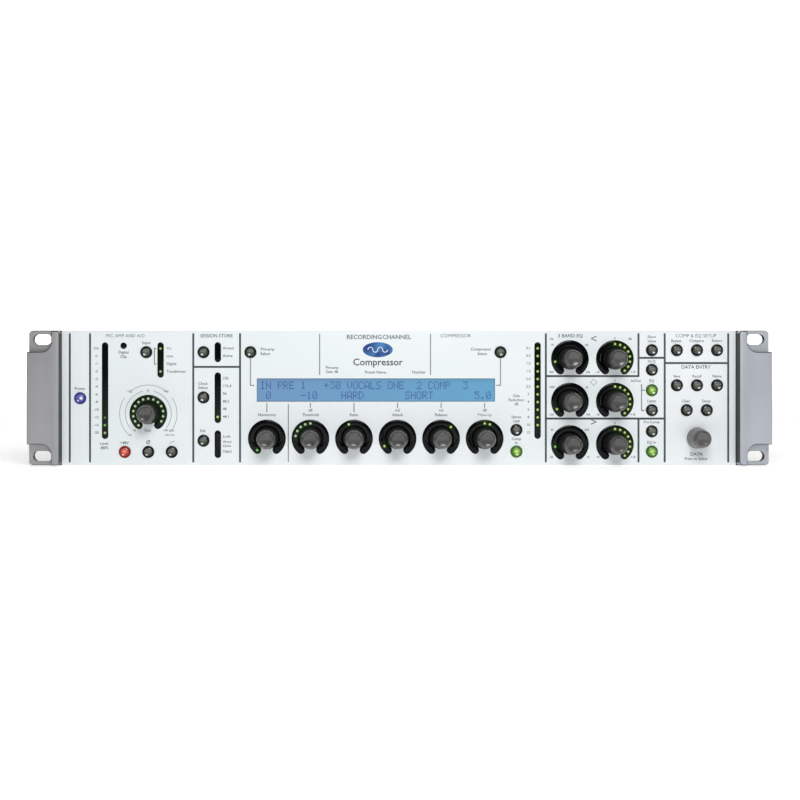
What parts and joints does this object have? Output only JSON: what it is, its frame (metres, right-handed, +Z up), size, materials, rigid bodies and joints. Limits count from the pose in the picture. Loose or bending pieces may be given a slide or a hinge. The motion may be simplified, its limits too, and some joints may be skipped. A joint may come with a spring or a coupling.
{
  "type": "rack compressor",
  "caption": "Two-unit rack compressor and equaliser with a white facia, grey slotted ears, endless knobs in light rings, lit push buttons, meters and a wide display.",
  "frame": {"origin": "centre of the rack slot pattern, on the plane where the panel meets the rack rails", "axes": "+X to the right seen from the front, along the panel; +Y back into the rack; +Z up"},
  "size_m": [0.4826, 0.331, 0.0882],
  "materials": {
    "facia_white": "satin white lacquer, faint cool tint",
    "black_steel": "fine black powder coat",
    "ear_grey": "fine-blasted satin grey",
    "window_clear": "clear acrylic",
    "display_blue": "backlit blue liquid-crystal display",
    "lens_black": "smoked gloss",
    "diode_body": "milky diodes on carriers",
    "collar_black": "gloss black moulding",
    "switch_body": "plain moulding",
    "encoder_steel": "zinc plate",
    "board_green": "solder-masked board",
    "winding_copper": "varnished winding tape",
    "connector_black": "black moulding",
    "screw_steel": "zinc plate",
    "knob_grey": "satin soft-touch moulding",
    "cap_unlit": "smoked translucent cap",
    "cap_green": "lit translucent cap",
    "cap_red": "lit translucent cap",
    "cap_blue": "lit translucent cap"
  },
  "bodies": {
    "root": {"facia": "facia_white", "sub_panel": "black_steel", "ear_left": "ear_grey", "ear_right": "ear_grey", "chassis": "black_steel", "top_cover": "black_steel", "rear_panel": "black_steel", "display_window": "window_clear", "display_module": "display_blue", "led_lenses": "lens_black", "led_arrays": "diode_body", "button_collars": "collar_black", "button_switches": "switch_body", "encoders": "encoder_steel", "front_board": "board_green", "main_board": "board_green", "mains_transformer": "winding_copper", "rear_connectors": "connector_black", "screws": "screw_steel"},
    "data_plunger": {"data_plunger": "switch_body"},
    "gain_knob": {"gain_knob": "knob_grey"},
    "harmonics_knob": {"harmonics_knob": "knob_grey"},
    "threshold_knob": {"threshold_knob": "knob_grey"},
    "ratio_knob": {"ratio_knob": "knob_grey"},
    "attack_knob": {"attack_knob": "knob_grey"},
    "release_knob": {"release_knob": "knob_grey"},
    "makeup_knob": {"makeup_knob": "knob_grey"},
    "high_frequency_knob": {"high_frequency_knob": "knob_grey"},
    "high_level_knob": {"high_level_knob": "knob_grey"},
    "mid_frequency_knob": {"mid_frequency_knob": "knob_grey"},
    "mid_level_knob": {"mid_level_knob": "knob_grey"},
    "low_frequency_knob": {"low_frequency_knob": "knob_grey"},
    "low_level_knob": {"low_level_knob": "knob_grey"},
    "data_knob": {"data_knob": "knob_grey"},
    "power_button": {"power_button": "cap_blue"},
    "input_button": {"input_button": "cap_unlit"},
    "phantom_button": {"phantom_button": "cap_red"},
    "phase_button": {"phase_button": "cap_unlit"},
    "filter_button": {"filter_button": "cap_unlit"},
    "session_button": {"session_button": "cap_unlit"},
    "clock_button": {"clock_button": "cap_unlit"},
    "external_button": {"external_button": "cap_unlit"},
    "preamp_button": {"preamp_button": "cap_unlit"},
    "dynamics_button": {"dynamics_button": "cap_unlit"},
    "stereo_link_button": {"stereo_link_button": "cap_unlit"},
    "dynamics_in_button": {"dynamics_in_button": "cap_green"},
    "show_value_button": {"show_value_button": "cap_unlit"},
    "high_q_button": {"high_q_button": "cap_unlit"},
    "shape_button": {"shape_button": "cap_green"},
    "order_button": {"order_button": "cap_unlit"},
    "pre_post_button": {"pre_post_button": "cap_unlit"},
    "equaliser_in_button": {"equaliser_in_button": "cap_green"},
    "bypass_button": {"bypass_button": "cap_unlit"},
    "compare_button": {"compare_button": "cap_unlit"},
    "return_button": {"return_button": "cap_unlit"},
    "save_button": {"save_button": "cap_unlit"},
    "recall_button": {"recall_button": "cap_unlit"},
    "source_button": {"source_button": "cap_unlit"},
    "clear_button": {"clear_button": "cap_unlit"},
    "utility_button": {"utility_button": "cap_unlit"}
  },
  "joints": [
    {"name": "gain_turn", "type": "hinge", "parent": "root", "child": "gain_knob", "pos_m": [-0.1634, 0, -0.0103], "axis": [0, 1, 0], "continuous": true},
    {"name": "harmonics_turn", "type": "hinge", "parent": "root", "child": "harmonics_knob", "pos_m": [-0.0861, 0, -0.0265], "axis": [0, 1, 0], "continuous": true},
    {"name": "threshold_turn", "type": "hinge", "parent": "root", "child": "threshold_knob", "pos_m": [-0.0577, 0, -0.0265], "axis": [0, 1, 0], "continuous": true},
    {"name": "ratio_turn", "type": "hinge", "parent": "root", "child": "ratio_knob", "pos_m": [-0.0293, 0, -0.0265], "axis": [0, 1, 0], "continuous": true},
    {"name": "attack_turn", "type": "hinge", "parent": "root", "child": "attack_knob", "pos_m": [-0.0009, 0, -0.0265], "axis": [0, 1, 0], "continuous": true},
    {"name": "release_turn", "type": "hinge", "parent": "root", "child": "release_knob", "pos_m": [0.0275, 0, -0.0265], "axis": [0, 1, 0], "continuous": true},
    {"name": "makeup_turn", "type": "hinge", "parent": "root", "child": "makeup_knob", "pos_m": [0.0559, 0, -0.0265], "axis": [0, 1, 0], "continuous": true},
    {"name": "high_frequency_turn", "type": "hinge", "parent": "root", "child": "high_frequency_knob", "pos_m": [0.1115, 0, 0.0253], "axis": [0, 1, 0], "continuous": true},
    {"name": "high_level_turn", "type": "hinge", "parent": "root", "child": "high_level_knob", "pos_m": [0.1408, 0, 0.0253], "axis": [0, 1, 0], "continuous": true},
    {"name": "mid_frequency_turn", "type": "hinge", "parent": "root", "child": "mid_frequency_knob", "pos_m": [0.1115, 0, -0.0024], "axis": [0, 1, 0], "continuous": true},
    {"name": "mid_level_turn", "type": "hinge", "parent": "root", "child": "mid_level_knob", "pos_m": [0.1408, 0, -0.0024], "axis": [0, 1, 0], "continuous": true},
    {"name": "low_frequency_turn", "type": "hinge", "parent": "root", "child": "low_frequency_knob", "pos_m": [0.1115, 0, -0.0301], "axis": [0, 1, 0], "continuous": true},
    {"name": "low_level_turn", "type": "hinge", "parent": "root", "child": "low_level_knob", "pos_m": [0.1408, 0, -0.0301], "axis": [0, 1, 0], "continuous": true},
    {"name": "data_push", "type": "slide", "parent": "root", "child": "data_plunger", "axis": [0, 1, 0], "range_m": [0, 0.0008], "stiffness_N_per_m": 2500, "springref_m": -0.0006},
    {"name": "data_turn", "type": "hinge", "parent": "data_plunger", "child": "data_knob", "pos_m": [0.1944, 0, -0.0261], "axis": [0, 1, 0], "continuous": true},
    {"name": "power_press", "type": "slide", "parent": "root", "child": "power_button", "axis": [0, 1, 0], "range_m": [0, 0.001], "stiffness_N_per_m": 1000, "springref_m": -0.0006},
    {"name": "input_press", "type": "slide", "parent": "root", "child": "input_button", "axis": [0, 1, 0], "range_m": [0, 0.001], "stiffness_N_per_m": 1000, "springref_m": -0.0006},
    {"name": "phantom_press", "type": "slide", "parent": "root", "child": "phantom_button", "axis": [0, 1, 0], "range_m": [0, 0.001], "stiffness_N_per_m": 1000, "springref_m": -0.0006},
    {"name": "phase_press", "type": "slide", "parent": "root", "child": "phase_button", "axis": [0, 1, 0], "range_m": [0, 0.001], "stiffness_N_per_m": 1000, "springref_m": -0.0006},
    {"name": "filter_press", "type": "slide", "parent": "root", "child": "filter_button", "axis": [0, 1, 0], "range_m": [0, 0.001], "stiffness_N_per_m": 1000, "springref_m": -0.0006},
    {"name": "session_press", "type": "slide", "parent": "root", "child": "session_button", "axis": [0, 1, 0], "range_m": [0, 0.001], "stiffness_N_per_m": 1000, "springref_m": -0.0006},
    {"name": "clock_press", "type": "slide", "parent": "root", "child": "clock_button", "axis": [0, 1, 0], "range_m": [0, 0.001], "stiffness_N_per_m": 1000, "springref_m": -0.0006},
    {"name": "external_press", "type": "slide", "parent": "root", "child": "external_button", "axis": [0, 1, 0], "range_m": [0, 0.001], "stiffness_N_per_m": 1000, "springref_m": -0.0006},
    {"name": "preamp_press", "type": "slide", "parent": "root", "child": "preamp_button", "axis": [0, 1, 0], "range_m": [0, 0.001], "stiffness_N_per_m": 1000, "springref_m": -0.0006},
    {"name": "dynamics_press", "type": "slide", "parent": "root", "child": "dynamics_button", "axis": [0, 1, 0], "range_m": [0, 0.001], "stiffness_N_per_m": 1000, "springref_m": -0.0006},
    {"name": "stereo_link_press", "type": "slide", "parent": "root", "child": "stereo_link_button", "axis": [0, 1, 0], "range_m": [0, 0.001], "stiffness_N_per_m": 1000, "springref_m": -0.0006},
    {"name": "dynamics_in_press", "type": "slide", "parent": "root", "child": "dynamics_in_button", "axis": [0, 1, 0], "range_m": [0, 0.001], "stiffness_N_per_m": 1000, "springref_m": -0.0006},
    {"name": "show_value_press", "type": "slide", "parent": "root", "child": "show_value_button", "axis": [0, 1, 0], "range_m": [0, 0.001], "stiffness_N_per_m": 1000, "springref_m": -0.0006},
    {"name": "high_q_press", "type": "slide", "parent": "root", "child": "high_q_button", "axis": [0, 1, 0], "range_m": [0, 0.001], "stiffness_N_per_m": 1000, "springref_m": -0.0006},
    {"name": "shape_press", "type": "slide", "parent": "root", "child": "shape_button", "axis": [0, 1, 0], "range_m": [0, 0.001], "stiffness_N_per_m": 1000, "springref_m": -0.0006},
    {"name": "order_press", "type": "slide", "parent": "root", "child": "order_button", "axis": [0, 1, 0], "range_m": [0, 0.001], "stiffness_N_per_m": 1000, "springref_m": -0.0006},
    {"name": "pre_post_press", "type": "slide", "parent": "root", "child": "pre_post_button", "axis": [0, 1, 0], "range_m": [0, 0.001], "stiffness_N_per_m": 1000, "springref_m": -0.0006},
    {"name": "equaliser_in_press", "type": "slide", "parent": "root", "child": "equaliser_in_button", "axis": [0, 1, 0], "range_m": [0, 0.001], "stiffness_N_per_m": 1000, "springref_m": -0.0006},
    {"name": "bypass_press", "type": "slide", "parent": "root", "child": "bypass_button", "axis": [0, 1, 0], "range_m": [0, 0.001], "stiffness_N_per_m": 1000, "springref_m": -0.0006},
    {"name": "compare_press", "type": "slide", "parent": "root", "child": "compare_button", "axis": [0, 1, 0], "range_m": [0, 0.001], "stiffness_N_per_m": 1000, "springref_m": -0.0006},
    {"name": "return_press", "type": "slide", "parent": "root", "child": "return_button", "axis": [0, 1, 0], "range_m": [0, 0.001], "stiffness_N_per_m": 1000, "springref_m": -0.0006},
    {"name": "save_press", "type": "slide", "parent": "root", "child": "save_button", "axis": [0, 1, 0], "range_m": [0, 0.001], "stiffness_N_per_m": 1000, "springref_m": -0.0006},
    {"name": "recall_press", "type": "slide", "parent": "root", "child": "recall_button", "axis": [0, 1, 0], "range_m": [0, 0.001], "stiffness_N_per_m": 1000, "springref_m": -0.0006},
    {"name": "source_press", "type": "slide", "parent": "root", "child": "source_button", "axis": [0, 1, 0], "range_m": [0, 0.001], "stiffness_N_per_m": 1000, "springref_m": -0.0006},
    {"name": "clear_press", "type": "slide", "parent": "root", "child": "clear_button", "axis": [0, 1, 0], "range_m": [0, 0.001], "stiffness_N_per_m": 1000, "springref_m": -0.0006},
    {"name": "utility_press", "type": "slide", "parent": "root", "child": "utility_button", "axis": [0, 1, 0], "range_m": [0, 0.001], "stiffness_N_per_m": 1000, "springref_m": -0.0006}
  ]
}
